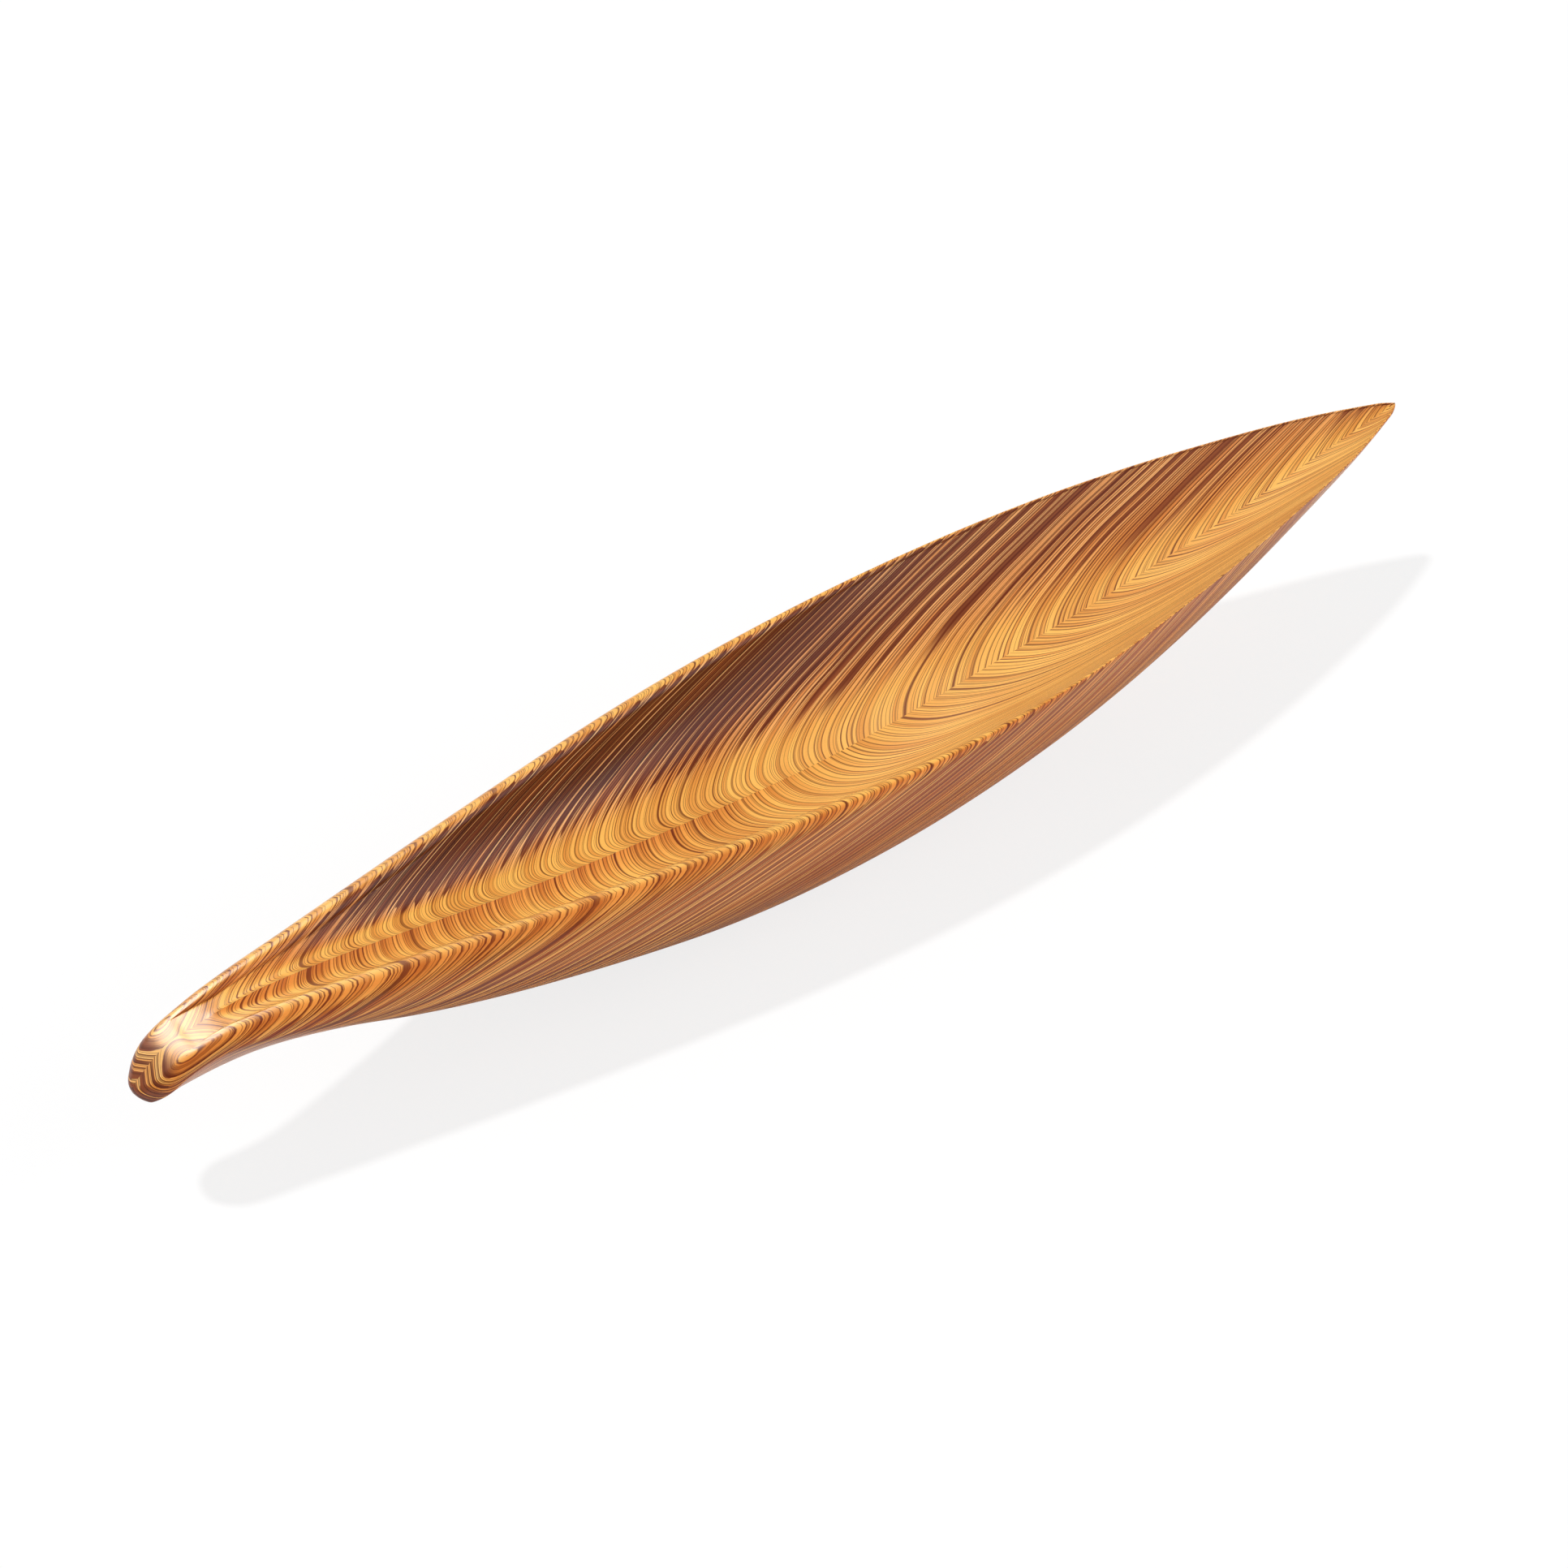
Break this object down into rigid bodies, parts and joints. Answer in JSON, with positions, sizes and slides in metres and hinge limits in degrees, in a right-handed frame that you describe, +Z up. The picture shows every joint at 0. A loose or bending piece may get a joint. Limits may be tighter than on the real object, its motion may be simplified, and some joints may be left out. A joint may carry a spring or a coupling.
{
  "type": "leaf-shaped serving dish",
  "caption": "Long leaf-shaped serving dish of laminated birch, with a raised pointed tip, a curled stem, a hollow with a midrib and a thin rounded rim.",
  "frame": {"origin": "on the table under the middle of the dish: bottom centre of the bounding box", "axes": "+X from the stem to the tip, +Y across to the left, +Z up"},
  "size_m": [0.5994, 0.1048, 0.0749],
  "materials": {
    "laminated_birch": "satin lacquer over sanded edges of birch veneers, with dark brown glue lines"
  },
  "bodies": {
    "root": {"left_sheet_01": "laminated_birch", "left_sheet_02": "laminated_birch", "left_sheet_03": "laminated_birch", "left_sheet_04": "laminated_birch", "left_sheet_05": "laminated_birch", "left_sheet_06": "laminated_birch", "left_sheet_07": "laminated_birch", "left_sheet_08": "laminated_birch", "left_sheet_09": "laminated_birch", "left_sheet_10": "laminated_birch", "left_sheet_11": "laminated_birch", "left_sheet_12": "laminated_birch", "left_sheet_13": "laminated_birch", "left_sheet_14": "laminated_birch", "left_sheet_15": "laminated_birch", "left_sheet_16": "laminated_birch", "left_sheet_17": "laminated_birch", "left_sheet_18": "laminated_birch", "left_sheet_19": "laminated_birch", "left_sheet_20": "laminated_birch", "left_sheet_21": "laminated_birch", "left_sheet_22": "laminated_birch", "left_sheet_23": "laminated_birch", "left_sheet_24": "laminated_birch", "right_sheet_01": "laminated_birch", "right_sheet_02": "laminated_birch", "right_sheet_03": "laminated_birch", "right_sheet_04": "laminated_birch", "right_sheet_05": "laminated_birch", "right_sheet_06": "laminated_birch", "right_sheet_07": "laminated_birch", "right_sheet_08": "laminated_birch", "right_sheet_09": "laminated_birch", "right_sheet_10": "laminated_birch", "right_sheet_11": "laminated_birch", "right_sheet_12": "laminated_birch", "right_sheet_13": "laminated_birch", "right_sheet_14": "laminated_birch", "right_sheet_15": "laminated_birch", "right_sheet_16": "laminated_birch", "right_sheet_17": "laminated_birch", "right_sheet_18": "laminated_birch", "right_sheet_19": "laminated_birch", "right_sheet_20": "laminated_birch", "right_sheet_21": "laminated_birch", "right_sheet_22": "laminated_birch", "right_sheet_23": "laminated_birch", "right_sheet_24": "laminated_birch"}
  },
  "joints": []
}
